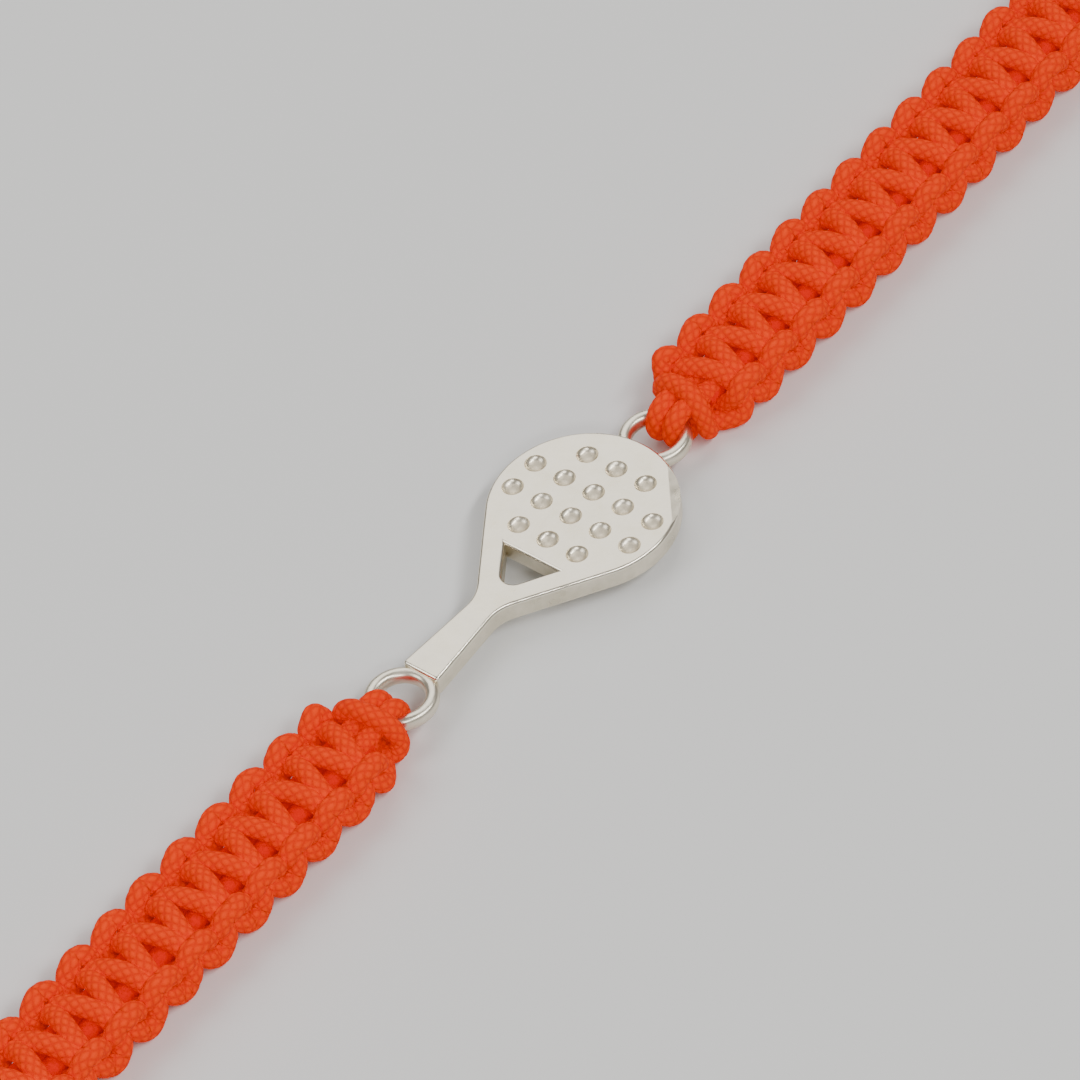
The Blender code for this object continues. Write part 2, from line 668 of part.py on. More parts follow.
def centre_on_origin():
    """The origin is the middle of the bracelet's length, on the surface that it lies on."""
    chain_pitch = 2 * LINK_BOW_RADIUS + LINK_STRAIGHT - 2 * LINK_WIRE_RADIUS - LINK_CLEARANCE
    first_bow = (JUMP_OUT + JUMP_RADIUS - JUMP_WIRE_RADIUS - LINK_WIRE_RADIUS - LINK_CLEARANCE
                 + 2 * LINK_BOW_RADIUS + LINK_STRAIGHT)
    last_bow = first_bow + (LINKS - 1) * chain_pitch
    tag_end = last_bow - LINK_WIRE_RADIUS - LINK_CLEARANCE - TAG_RIM + 2 * TAG_RADIUS
    clasp_end = (JUMP_OUT + JUMP_RADIUS - JUMP_WIRE_RADIUS - CLASP_EYE_WIRE_RADIUS
                 - LINK_CLEARANCE + CLASP_EYE_RADIUS + SHANK_LENGTH + HOOK_RADIUS
                 + HOOK_WIDTH / 2)
    middle = ((HEAD_RING_X + tag_end) + (HANDLE_RING_X - clasp_end)) / 2
    for obj in bpy.data.objects:
        if obj.parent is None:
            obj.location.x -= middle


def main():
    clear_scene()
    bench = Bench()
    make_plate(bench)
    make_plate_rings(bench)
    head = Side("head", HEAD_RING_X, 0.0)
    handle = Side("handle", HANDLE_RING_X, pi)
    make_chain(bench, head, make_band(bench, head))
    make_clasp(bench, handle, make_band(bench, handle))
    centre_on_origin()


main()
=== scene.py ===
import json
from math import atan2, ceil, cos, pi, radians, sin, tan

import bmesh
import bpy
import numpy as np
from bpy.props import FloatProperty, FloatVectorProperty, IntProperty, PointerProperty
from bpy.types import Operator, Panel, PropertyGroup
from mathutils import Matrix, Vector, noise


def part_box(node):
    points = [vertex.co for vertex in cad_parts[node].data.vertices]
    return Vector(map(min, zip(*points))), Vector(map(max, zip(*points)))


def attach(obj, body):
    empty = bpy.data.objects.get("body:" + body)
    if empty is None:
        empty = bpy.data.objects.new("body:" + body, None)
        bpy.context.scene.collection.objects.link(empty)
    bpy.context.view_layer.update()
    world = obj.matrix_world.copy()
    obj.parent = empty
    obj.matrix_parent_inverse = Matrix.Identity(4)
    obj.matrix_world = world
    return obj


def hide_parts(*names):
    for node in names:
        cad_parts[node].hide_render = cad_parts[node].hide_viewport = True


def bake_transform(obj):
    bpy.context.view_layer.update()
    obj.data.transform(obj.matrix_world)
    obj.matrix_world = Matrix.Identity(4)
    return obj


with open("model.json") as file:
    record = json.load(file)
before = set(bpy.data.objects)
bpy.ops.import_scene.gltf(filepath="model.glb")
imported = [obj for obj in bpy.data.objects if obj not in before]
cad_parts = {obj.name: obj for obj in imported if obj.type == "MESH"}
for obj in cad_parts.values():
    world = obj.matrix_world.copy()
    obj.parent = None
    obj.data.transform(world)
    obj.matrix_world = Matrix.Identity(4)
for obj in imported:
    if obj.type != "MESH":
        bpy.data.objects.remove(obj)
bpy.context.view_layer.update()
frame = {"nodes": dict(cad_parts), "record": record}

bl_info = {
    "name": "Padel racket bracelet",
    "version": (1, 0, 0),
    "blender": (4, 5, 0),
    "location": "View3D > Sidebar > Bracelet",
    "description": "Makes a knotted cord bracelet with a silver racket link",
    "category": "Object",
}

MM = 0.001
JOINTS = {joint["name"]: joint for joint in frame["record"]["behaviour"]["joints"]}
SIDES = ("head", "handle")
SEGMENTS = 6
LINKS = 4
SEED = 3
PLATE_LOW, PLATE_HIGH = (Vector(corner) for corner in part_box("racket_plate"))
PLATE_MIDDLE = (PLATE_LOW.z + PLATE_HIGH.z) / 2
BAND_MIDDLE = JOINTS["head_bend_1"]["pos_m"][2]
STEEL = (0.6, 0.59, 0.57)


# Sizes and colours ------------------------------------------------------------------------

def length(name, description, default):
    return FloatProperty(name=name, description=description, default=default * MM, min=0.0,
                         precision=5, unit='LENGTH')


def colour(name, description, default):
    return FloatVectorProperty(name=name, description=description, default=default, size=3,
                               min=0.0, max=1.0, subtype='COLOR')


def angle(name, description, default):
    return FloatProperty(name=name, description=description, default=radians(default),
                         subtype='ANGLE')


class LinkSizes(PropertyGroup):
    """Sizes of the racket link and its two rings."""
    head_radius: length("Head radius", "Radius of the racket's round head", 4.9)
    taper: angle("Taper", "Angle between the throat's sides and the long axis", 34)
    reach: length("Handle reach", "Head's centre to the handle's end", 12.95)
    half_width: length("Handle half width", "Half of the handle's width at its end", 1.12)
    flare: angle("Flare", "How much each side of the handle opens towards its end", 4)
    throat_radius: length("Throat radius", "Rounding where head and handle meet", 2.2)
    corner_radius: length("Corner radius", "Rounding of the handle's corners", 0.2)
    edge: length("Edge", "Rounding of the plate's edges", 0.17)
    arm_width: length("Arm width", "Metal on each side of the throat's opening", 1.2)
    opening_inset: length("Opening inset", "Head's circle to the opening's edge", 0.8)
    opening_radius: length("Opening radius", "Rounding of the opening's lower end", 0.65)
    dimple_pitch: length("Dimple pitch", "Distance between dimples", 1.85)
    dimple_radius: length("Dimple radius", "Radius of a dimple's mouth", 0.57)
    dimple_depth: length("Dimple depth", "Depth of a dimple", 0.28)
    ring_radius: length("Ring radius", "Radius to the middle of a ring's wire", 1.54)
    ring_wire: length("Ring wire", "Half of the ring's wire", 0.36)


class CordSizes(PropertyGroup):
    """Sizes of the knotted cord."""
    radius: length("Cord radius", "Radius of the knotting cord", 0.52)
    core_radius: length("Core radius", "Radius of a filler cord", 0.56)
    pitch: length("Knot pitch", "Length of one square knot", 2.6)
    grain: length("Grain", "Length of one lozenge of the cord's braid", 0.25)
    carriers: IntProperty(name="Carriers", description="Lozenges round the braid", default=12,
                          min=4, max=16)
    relief: length("Relief", "Height of the braid's strands", 0.03)
    wander: length("Wander", "How far the knots stray from their places", 0.06)
    reach: length("Reach", "Band's middle to the middle of a cord at its edge", 2.3)
    rise: length("Rise", "Band's middle height to the middle of a crossing cord", 1.02)
    pinch: FloatProperty(name="Pinch", description="Thickness left where legs are squeezed",
                         default=0.8, min=0.4, max=1.0, subtype='FACTOR')


class Finish(PropertyGroup):
    """Colours of the bracelet and its floor."""
    silver: colour("Silver", "Colour of the metal", (0.91, 0.84, 0.70))
    cord: colour("Cord", "Colour of the lit cord", (0.92, 0.05, 0.0))
    # Painted shade: the crease colour is a darker copy of the cord, painted between the braid's
    # strands where shade falls.
    crease_shade: colour("Crease", "Colour between the braid's strands", (0.64, 0.01, 0.0))
    # Painted shade: the core colour is a darker copy of the cord for the filler cords that lie
    # in shade inside the knots.
    core: colour("Core", "Colour of the cords inside the knots", (0.75, 0.012, 0.0))
    floor: colour("Floor", "Colour of the floor", (0.78, 0.78, 0.77))


# Materials --------------------------------------------------------------------------------

class Wire:
    """A node's output that Python's arithmetic adds Math nodes to."""

    def __init__(self, graph, socket):
        self.graph = graph
        self.socket = socket

    def _math(self, operation, first, second=0.0):
        return self.graph.add('ShaderNodeMath', {'operation': operation},
                              {0: first, 1: second})

    def __add__(self, other):
        return self._math('ADD', self, other)

    def __sub__(self, other):
        return self._math('SUBTRACT', self, other)

    def __mul__(self, other):
        return self._math('MULTIPLY', self, other)

    def cosine(self):
        return self._math('COSINE', self)

    def size(self):
        return self._math('ABSOLUTE', self)

    def clamped(self):
        return self.graph.add('ShaderNodeClamp', {}, {'Value': self})


class Graph:
    """A material and the nodes that are added to it."""

    def __init__(self, name):
        self.material = bpy.data.materials.new(name)
        self.material.use_nodes = True
        self.tree = self.material.node_tree
        self.shader = self.tree.nodes["Principled BSDF"]

    def feed(self, socket, value):
        if isinstance(value, Wire):
            self.tree.links.new(value.socket, socket)
        else:
            socket.default_value = value

    def add(self, kind, settings, values, output=0):
        """Add a node: its settings first, then the values or links of its sockets."""
        made = self.tree.nodes.new(kind)
        for key, value in settings.items():
            setattr(made, key, value)
        for key, value in values.items():
            self.feed(made.inputs[key], value)
        return Wire(self, made.outputs[output])

    def place(self, scale=(1, 1, 1)):
        """Object coordinates, stretched."""
        coordinates = self.add('ShaderNodeTexCoord', {}, {}, 'Object')
        return self.add('ShaderNodeMapping', {}, {'Vector': coordinates, 'Scale': scale})

    def noise(self, vector, scale, detail=2.0, roughness=0.5):
        return self.add('ShaderNodeTexNoise', {},
                        {'Vector': vector, 'Scale': scale, 'Detail': detail,
                         'Roughness': roughness})

    def mix(self, factor, first, second):
        """A colour between two colours."""
        sockets = {0: factor, 6: first, 7: second}
        return self.add('ShaderNodeMix', {'data_type': 'RGBA'},
                        {key: (*value, 1.0) if isinstance(value, tuple) else value
                         for key, value in sockets.items()}, 2)

    def range(self, value, low, high):
        """Spread a value from 0 to 1 over a range."""
        return value * (high - low) + low

    def bump(self, height, distance, strength=1.0, normal=None):
        values = {'Height': height, 'Distance': distance, 'Strength': strength}
        if normal is not None:
            values['Normal'] = normal
        return self.add('ShaderNodeBump', {}, values)

    def finish(self, **values):
        for key, value in values.items():
            socket = self.shader.inputs[key.replace('_', ' ')]
            self.feed(socket, (*value, 1.0) if isinstance(value, tuple) else value)
        return self.material


def satin_silver(name, tint):
    """Cast silver, tumbled to a soft satin: slow waves, fine grain and faint scuffs."""
    g = Graph(name)
    place = g.place()
    waves = g.noise(place, 380.0, 2.0, 0.45)
    grain = g.noise(place, 9000.0, 2.0, 0.6)
    cloud = ((g.noise(place, 700.0, 4.0, 0.6) - 0.32) * 2.6).clamped()
    scuffs = g.noise(g.place((0.25, 1.4, 1.0)), 5200.0, 2.0, 0.7)
    normal = g.bump(waves, 0.16 * MM)
    normal = g.bump(scuffs, 0.0022 * MM, 1.0, normal)
    normal = g.bump(grain, 0.0022 * MM, 1.0, normal)
    dull = tuple(part * shade for part, shade in zip(tint, (0.76, 0.75, 0.71)))
    return g.finish(Base_Color=g.mix(cloud, dull, tint), Metallic=1.0,
                    Roughness=g.range(cloud, 0.26, 0.4), Normal=normal)


def frosted_silver(name, tint):
    """The rough, creamy floor of a cast dimple."""
    g = Graph(name)
    place = g.place()
    grain = g.noise(place, 5200.0, 3.0, 0.7)
    pits = g.noise(place, 2300.0, 2.0, 0.6)
    normal = g.bump(pits, 0.03 * MM)
    normal = g.bump(grain, 0.012 * MM, 1.0, normal)
    warm = tuple(part * shade for part, shade in zip(tint, (1.0, 0.97, 0.92)))
    dark = tuple(part * shade for part, shade in zip(tint, (0.8, 0.77, 0.72)))
    return g.finish(Base_Color=g.mix(pits, dark, warm), Metallic=1.0,
                    Roughness=g.range(grain, 0.42, 0.6), Normal=normal)


def polished_silver(name, tint, rough=0.1):
    """Bright silver with soft smudges, wire draw marks and hairline scratches."""
    g = Graph(name)
    place = g.place()
    smudge = g.noise(place, 1300.0, 3.0, 0.6)
    waves = g.noise(place, 700.0, 1.0)
    hairs = g.noise(g.place((0.12, 2.0, 2.0)), 9000.0, 2.0, 0.6)
    normal = g.bump(waves, 0.05 * MM)
    normal = g.bump(hairs, 0.0012 * MM, 1.0, normal)
    dull = tuple(part * 0.9 for part in tint)
    return g.finish(Base_Color=g.mix(smudge, dull, tint), Metallic=1.0,
                    Roughness=g.range(smudge, rough, rough + 0.16), Normal=normal)


def braided_cord(name, sizes, lit, crease_shade, painted_glow):
    """Neon nylon: lozenge strands crossing both ways, each made of fine filaments, with painted
    shade in the creases and a painted glow.
    """
    g = Graph(name)
    uv = g.add('ShaderNodeUVMap', {'uv_map': "UVMap"}, {})
    split = g.add('ShaderNodeSeparateXYZ', {}, {'Vector': uv})
    turns = split * (sizes.carriers * pi)
    along = Wire(g, split.socket.node.outputs[1]) * (pi * MM / sizes.grain)
    weave = (turns.cosine() - along.cosine()).size() * 0.5
    fibres = g.add('ShaderNodeCombineXYZ', {}, {'X': along * 2.2, 'Y': turns * 1.1})
    fine = g.noise(fibres, 1.0, 2.0, 0.6)
    fuzz = g.noise(g.place(), 2600.0, 3.0, 0.6)
    normal = g.bump(weave, 0.05 * MM)
    normal = g.bump(fine, 0.03 * MM, 1.0, normal)
    normal = g.bump(fuzz, 0.02 * MM, 1.0, normal)
    # Painted shade: the colour runs from the crease shade in the braid's hollows to the lit
    # colour on its strands; the fine filaments add random tone.
    shade = (weave * 0.75 + fine * 0.5 + 0.12).clamped()
    # Painted glow: the cord emits its own painted colours, which lightens its shade though it
    # is no lamp.
    return g.finish(Base_Color=g.mix(shade, crease_shade, lit), Roughness=g.range(fine, 0.45, 0.7),
                    Normal=normal, Emission_Color=g.mix(shade, crease_shade, lit),
                    Emission_Strength=painted_glow, Specular_IOR_Level=0.03)


def pale_floor(name, tint):
    """Matt paper with a faint cloudiness."""
    g = Graph(name)
    cloud = g.noise(g.place(), 30.0, 4.0, 0.6)
    dull = tuple(part * 0.97 for part in tint)
    return g.finish(Base_Color=g.mix(cloud, dull, tint), Roughness=0.75)


def material(look):
    """One of the bracelet's materials, made once. The CAD has plain ones of its own."""
    name = look + "_look"
    found = bpy.data.materials.get(name)
    if found:
        return found
    finish = bpy.context.scene.bracelet_finish
    tint = tuple(finish.silver)
    if look == "satin_silver":
        return satin_silver(name, tint)
    if look == "frosted_silver":
        return frosted_silver(name, tint)
    if look == "polished_silver":
        return polished_silver(name, tint)
    if look == "silver_wire":
        return polished_silver(name, tint, 0.14)
    if look == "spring_steel":
        return polished_silver(name, STEEL, 0.2)
    sizes = bpy.context.scene.bracelet_cord
    # The knotting cord gets painted shade in its creases and a painted glow.
    if look == "knotting_cord":
        return braided_cord(name, sizes, tuple(finish.cord), tuple(finish.crease_shade), 0.12)
    # The filler cords are a darker copy of the cord as painted shade, with a painted glow.
    if look == "filler_cord":
        return braided_cord(name, sizes, tuple(finish.core), tuple(finish.core), 0.15)
    return pale_floor(name, tuple(finish.floor))


# Mesh tools -------------------------------------------------------------------------------

def finished(name, work, body, look, nodes=(), smooth=True, limit=radians(35)):
    """Turn a bmesh into a finished piece on its body."""
    mesh = bpy.data.meshes.new(name)
    work.to_mesh(mesh)
    work.free()
    for part in look if isinstance(look, tuple) else (look,):
        mesh.materials.append(material(part))
    piece = bpy.data.objects.new(name, mesh)
    bpy.context.scene.collection.objects.link(piece)
    if smooth:
        mesh.shade_smooth()
        mesh.set_sharp_from_angle(angle=limit)
    if body:
        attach(piece, body)
    if nodes:
        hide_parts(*nodes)
    return piece


def swept(work, vert, centre, turn, steps):
    """Sweep a point round a centre in the plane. Gives the arc's last point."""
    made = bmesh.ops.spin(work, geom=[vert], cent=centre, axis=(0, 0, 1), angle=turn,
                          steps=steps)
    return next(part for part in made["geom_last"] if isinstance(part, bmesh.types.BMVert))


def drawn(work, vert, place):
    """Draw a straight line from a point to a place."""
    end = bmesh.ops.extrude_vert_indiv(work, verts=[vert])["verts"][0]
    end.co = place
    return end


def corner_round(before, at, after, radius):
    """Where a rounded corner starts, its centre and its turn."""
    before, at, after = Vector(before), Vector(at), Vector(after)
    to_before = (before - at).normalized()
    to_after = (after - at).normalized()
    half = to_before.angle(to_after) / 2
    start = at + to_before * radius / tan(half)
    end = at + to_after * radius / tan(half)
    centre = at + (to_before + to_after).normalized() * radius / sin(half)
    first = start - centre
    last = end - centre
    turn = atan2(first.x * last.y - first.y * last.x, first.x * last.x + first.y * last.y)
    return start, centre, turn


def flat(place):
    return Vector((place[0], place[1], 0))


def closed_prism(work, thickness):
    """Mirror a half outline, fill it and give it thickness round the plane."""
    bmesh.ops.mirror(work, geom=work.verts[:] + work.edges[:], axis='Y', merge_dist=1e-6)
    bmesh.ops.remove_doubles(work, verts=work.verts, dist=1e-6)
    bmesh.ops.holes_fill(work, edges=work.edges[:], sides=0)
    if not work.faces:
        bmesh.ops.contextual_create(work, geom=work.edges[:])
    made = bmesh.ops.extrude_face_region(work, geom=work.faces[:])
    top = [part for part in made["geom"] if isinstance(part, bmesh.types.BMVert)]
    bmesh.ops.translate(work, verts=top, vec=(0, 0, thickness))
    bmesh.ops.translate(work, verts=work.verts, vec=(0, 0, -thickness / 2))
    bmesh.ops.recalc_face_normals(work, faces=work.faces)


def cutter(work, name):
    mesh = bpy.data.meshes.new(name)
    work.to_mesh(mesh)
    work.free()
    made = bpy.data.objects.new(name, mesh)
    bpy.context.scene.collection.objects.link(made)
    return made


def apply_modifiers(piece):
    """Take the shape that the modifiers give, and leave none on the piece."""
    graph = bpy.context.evaluated_depsgraph_get()
    mesh = bpy.data.meshes.new_from_object(piece.evaluated_get(graph))
    piece.modifiers.clear()
    piece.data = mesh


def cut_away(piece, tool, solver='EXACT'):
    cut = piece.modifiers.new("cut", 'BOOLEAN')
    cut.operation = 'DIFFERENCE'
    cut.solver = solver
    cut.object = tool
    apply_modifiers(piece)
    bpy.data.objects.remove(tool)


# Racket link ------------------------------------------------------------------------------

# A line across the racket's face, where a filed facet starts: two places from the head's
# centre, in millimetres.
FACET = ((4.36, -2.02), (1.56, -4.39))
FACET_SLOPE = radians(13)
FACET_SLAB = 8 * MM
DIMPLE_ROWS = (3, 5, 5, 3)
FROSTED = 0.66                    # part of a dimple's radius that has a rough floor
LIP = 1.1                         # a dimple's lip ends here, in dimple radii
EDGE_FACES = (0.1, 0.97)          # how far up a polished edge's faces look

def head_centre(sizes):
    return Vector((PLATE_HIGH.x - sizes.head_radius, 0, PLATE_MIDDLE))


def racket_blank(sizes, thickness):
    """The racket's outline: a round head, straight sides and a flared handle."""
    side = pi / 2 + sizes.taper
    leave = Vector((cos(side), sin(side))) * sizes.head_radius
    end = Vector((-sizes.reach, sizes.half_width))
    along = Vector((-cos(sizes.taper), -sin(sizes.taper)))
    back = Vector((cos(sizes.flare), -sin(sizes.flare)))
    apart = end - leave
    reach = (apart.x * back.y - apart.y * back.x) / (along.x * back.y - along.y * back.x)
    throat = leave + along * reach
    work = bmesh.new()
    at = work.verts.new((sizes.head_radius, 0, 0))
    at = swept(work, at, (0, 0, 0), side, 60)
    for before, corner, after, radius, steps in (
            (leave, throat, end, sizes.throat_radius, 12),
            (throat, end, (-sizes.reach, 0), sizes.corner_radius, 5)):
        start, centre, turn = corner_round(before, corner, after, radius)
        at = drawn(work, at, flat(start))
        at = swept(work, at, flat(centre), turn, steps)
    drawn(work, at, (-sizes.reach, 0, 0))
    closed_prism(work, thickness)
    return work


def opening_tool(sizes, thickness):
    """The opening has a straight edge towards the head and leaves arms of one width."""
    reach = sizes.head_radius - sizes.opening_inset
    tip = Vector(((sizes.arm_width - sizes.head_radius) / sin(sizes.taper), 0))
    corner = Vector((-reach, -(reach + tip.x) * tan(sizes.taper)))
    work = bmesh.new()
    at = drawn(work, work.verts.new((-reach, 0, 0)), flat(corner))
    start, centre, turn = corner_round(corner, tip, (corner.x, -corner.y),
                                       sizes.opening_radius)
    at = drawn(work, at, flat(start))
    at = swept(work, at, flat(centre), turn / 2, 8)
    at.co.y = 0
    closed_prism(work, thickness)
    return cutter(work, "opening")


def dimple_tool(sizes, places):
    """Shallow bowls with a faintly conical floor."""
    work = bmesh.new()
    for place in places:
        made = bmesh.ops.create_uvsphere(work, u_segments=40, v_segments=17,
                                         radius=sizes.dimple_radius)
        for vert in made["verts"]:
            out = min(1.0, vert.co.to_2d().length / sizes.dimple_radius)
            depth = sizes.dimple_depth * (1 - out ** 3) ** 0.75 * (1.15 - 0.3 * out)
            vert.co.z = depth if vert.co.z > 0 else -depth
        bmesh.ops.translate(work, verts=made["verts"], vec=place)
    return cutter(work, "dimples")


def dimple_places(sizes, height):
    for row, count in enumerate(DIMPLE_ROWS):
        along = ((len(DIMPLE_ROWS) - 1) / 2 - row) * sizes.dimple_pitch
        for i in range(count):
            yield Vector((along, (i - (count - 1) / 2) * sizes.dimple_pitch, height))


def facet_tool(top):
    """A slab that takes a sliver off one side of the head, as a finisher's file does."""
    (x0, y0), (x1, y1) = FACET
    along = Vector((x1 - x0, y1 - y0, 0)).normalized()
    out = Vector((along.y, -along.x, 0))
    if out.dot(Vector((x0, y0, 0))) < 0:
        out.negate()
    middle = Vector(((x0 + x1) / 2 * MM, (y0 + y1) / 2 * MM, top))
    work = bmesh.new()
    bmesh.ops.create_cube(work, size=FACET_SLAB)
    bmesh.ops.translate(work, verts=work.verts, vec=(FACET_SLAB / 2, 0, FACET_SLAB / 2))
    bmesh.ops.rotate(work, verts=work.verts, cent=(0, 0, 0),
                     matrix=Matrix.Rotation(FACET_SLOPE, 3, 'Y'))
    bmesh.ops.rotate(work, verts=work.verts, cent=(0, 0, 0),
                     matrix=Matrix.Rotation(atan2(out.y, out.x), 3, 'Z'))
    bmesh.ops.translate(work, verts=work.verts, vec=middle)
    return cutter(work, "facet")


class RACKET_OT_link(Operator):
    """Make the silver plate with its opening and dimples"""
    bl_idname = "bracelet.link"
    bl_label = "Racket plate"

    def execute(self, context):
        sizes = context.scene.bracelet_link
        thickness = PLATE_HIGH.z - PLATE_LOW.z
        centre = head_centre(sizes)
        plate = cutter(racket_blank(sizes, thickness), "racket_plate")
        cut_away(plate, opening_tool(sizes, thickness * 1.5))
        work = bmesh.new()
        work.from_mesh(plate.data)
        bmesh.ops.remove_doubles(work, verts=work.verts, dist=1e-7)
        bmesh.ops.dissolve_limit(work, angle_limit=radians(0.5), verts=work.verts,
                                 edges=work.edges)
        rim = [edge for edge in work.edges if edge.is_manifold
               and edge.calc_face_angle(0) > radians(60)
               and abs(edge.verts[0].co.z - edge.verts[1].co.z) < 1e-7]
        bmesh.ops.bevel(work, geom=rim, offset=sizes.edge, affect='EDGES', segments=5,
                        profile=0.5, material=-1, offset_type='OFFSET', clamp_overlap=False)
        bpy.data.objects.remove(plate)
        plate = cutter(work, "bevelled_plate")
        cut_away(plate, facet_tool(thickness / 2))
        places = list(dimple_places(sizes, thickness / 2))
        cut_away(plate, dimple_tool(sizes, places), 'MANIFOLD')
        work = bmesh.new()
        work.from_mesh(plate.data)
        bpy.data.objects.remove(plate)
        top = thickness / 2
        for face in work.faces:
            spot = face.calc_center_median()
            away = min((spot - place).to_2d().length for place in places)
            if away < sizes.dimple_radius * FROSTED and 0 < spot.z < top - 0.01 * MM:
                face.material_index = 1
            elif (away > LIP * sizes.dimple_radius
                  and EDGE_FACES[0] < abs(face.normal.z) < EDGE_FACES[1]):
                face.material_index = 2
        bmesh.ops.translate(work, verts=work.verts, vec=centre)
        piece = finished("racket_link", work, "racket",
                         ("satin_silver", "frosted_silver", "polished_silver"),
                         ("racket_plate",), limit=radians(50))
        level = piece.modifiers.new("level", 'WEIGHTED_NORMAL')
        level.keep_sharp = True
        apply_modifiers(piece)
        return {'FINISHED'}


def ring_of_wire(work, radius, wire, height=None, steps=72, sides=20):
    """A ring of round or slightly squared wire, flat in the plane."""
    made = bmesh.ops.create_circle(work, segments=sides, radius=wire)
    for vert in made["verts"]:
        turn = atan2(vert.co.y, vert.co.x)
        square = 1 / max(abs(cos(turn)), abs(sin(turn)), 0.001)
        vert.co *= min(square, 1.0 + 0.12 * (square - 1) / 0.4142)
    bmesh.ops.scale(work, verts=made["verts"], vec=(1, (height or wire) / wire, 1))
    bmesh.ops.rotate(work, verts=made["verts"], cent=(0, 0, 0),
                     matrix=Matrix.Rotation(pi / 2, 3, 'X'))
    bmesh.ops.translate(work, verts=made["verts"], vec=(radius, 0, 0))
    bmesh.ops.spin(work, geom=work.verts[:] + work.edges[:], cent=(0, 0, 0), axis=(0, 0, 1),
                   angle=2 * pi, steps=steps, use_merge=True)
    bmesh.ops.remove_doubles(work, verts=work.verts, dist=1e-7)
    bmesh.ops.recalc_face_normals(work, faces=work.faces)


class RACKET_OT_rings(Operator):
    """Make the two rings soldered to the racket"""
    bl_idname = "bracelet.rings"
    bl_label = "Rings"

    def execute(self, context):
        sizes = context.scene.bracelet_link
        for side in SIDES:
            work = bmesh.new()
            ring_of_wire(work, sizes.ring_radius, sizes.ring_wire, sizes.ring_wire * 1.15)
            centre = Vector(JOINTS[side + "_turn"]["pos_m"])
            bmesh.ops.translate(work, verts=work.verts, vec=centre)
            finished(side + "_link_ring", work, "racket", "satin_silver",
                     (side + "_ring",))
        return {'FINISHED'}


# Knotted bands ----------------------------------------------------------------------------

# One strand's way over the fillers, from the middle of its turn at one edge to the band's
# middle line, as parts of the half pitch, the reach across and the reach up.
OVER = ((-0.50, -0.98, -0.95), (-0.18, -0.94, -0.90), (0.15, -0.91, -0.46),
        (0.28, -0.74, 0.10), (0.24, -0.44, 0.72), (0.0, 0.0, 1.0))


def half_knot(sizes):
    """One strand's way through half a square knot.

    It turns at the edge round the back of the other strand's legs, passes under the other
    strand's raised turn and crosses over the fillers. The next half knot is this one
    mirrored across and moved on, and the other strand is the same again, upside down.
    """
    half = [Vector((out * sizes.pitch / 2, across * sizes.reach, up * sizes.rise))
            for out, across, up in OVER]
    return half + [Vector((-point.x, -point.y, point.z)) for point in half[-2:0:-1]]


def smoothed(points, spacing, before=(), after=()):
    """Points at an even spacing along a smooth line through a few places."""
    points = [Vector(point) for point in points]
    ends = ((list(before) or [points[0] * 2 - points[1]]) + points
            + (list(after) or [points[-1] * 2 - points[-2]]))
    line = []
    for p0, p1, p2, p3 in zip(ends, ends[1:], ends[2:], ends[3:]):
        steps = max(2, ceil((p2 - p1).length / spacing))
        for i in range(steps):
            t = i / steps
            line.append(0.5 * ((2 * p1) + (p2 - p0) * t
                               + (2 * p0 - 5 * p1 + 4 * p2 - p3) * t ** 2
                               + (3 * p1 - p0 - 3 * p2 + p3) * t ** 3))
    line.append(points[-1])
    return line


def tube(points, radius, sides, start=0.0, thickness=None):
    """A round tube along points, with its UV map in turns round and millimetres along."""
    curve = bpy.data.curves.new("tube", 'CURVE')
    curve.dimensions = '3D'
    curve.twist_mode = 'MINIMUM'
    curve.bevel_depth = radius
    curve.bevel_resolution = (sides - 4) // 2
    curve.use_fill_caps = True
    spline = curve.splines.new('POLY')
    spline.points.add(len(points) - 1)
    spline.points.foreach_set("co", [c for point in points for c in (*point, 1.0)])
    if thickness:
        spline.points.foreach_set("radius", thickness)
    holder = bpy.data.objects.new("tube", curve)
    bpy.context.scene.collection.objects.link(holder)
    graph = bpy.context.evaluated_depsgraph_get()
    mesh = bpy.data.meshes.new_from_object(holder.evaluated_get(graph))
    bpy.data.objects.remove(holder)
    bpy.data.curves.remove(curve)
    run = sum((b - a).length for a, b in zip(points, points[1:])) / MM
    layer = mesh.uv_layers[0]
    layer.name = "UVMap"
    values = np.empty(len(layer.data) * 2)
    layer.data.foreach_get("uv", values)
    along, turns = values[0::2].copy(), values[1::2].copy()
    values[0::2], values[1::2] = turns, along * run + start
    layer.data.foreach_set("uv", values)
    return mesh, start + run


def raise_braid(mesh, sizes):
    """Lift the braid's strands off the tube along its normals."""
    layer = mesh.uv_layers[0]
    uv = np.empty(len(layer.data) * 2)
    layer.data.foreach_get("uv", uv)
    corners = np.empty(len(mesh.loops), dtype=np.int32)
    mesh.loops.foreach_get("vertex_index", corners)
    at = np.zeros((len(mesh.vertices), 2))
    at[corners] = uv.reshape(-1, 2)
    normals = np.empty(len(mesh.vertices) * 3)
    mesh.vertex_normals.foreach_get("vector", normals)
    places = np.empty(len(mesh.vertices) * 3)
    mesh.vertices.foreach_get("co", places)
    turns, along = at[:, 0] * pi * sizes.carriers, at[:, 1] * pi * MM / sizes.grain
    lift = np.sqrt(np.abs(np.cos(turns) - np.cos(along)) * 2) - 1
    places += (normals.reshape(-1, 3) * (lift * sizes.relief / 2)[:, None]).ravel()
    mesh.vertices.foreach_set("co", places)
    mesh.update()


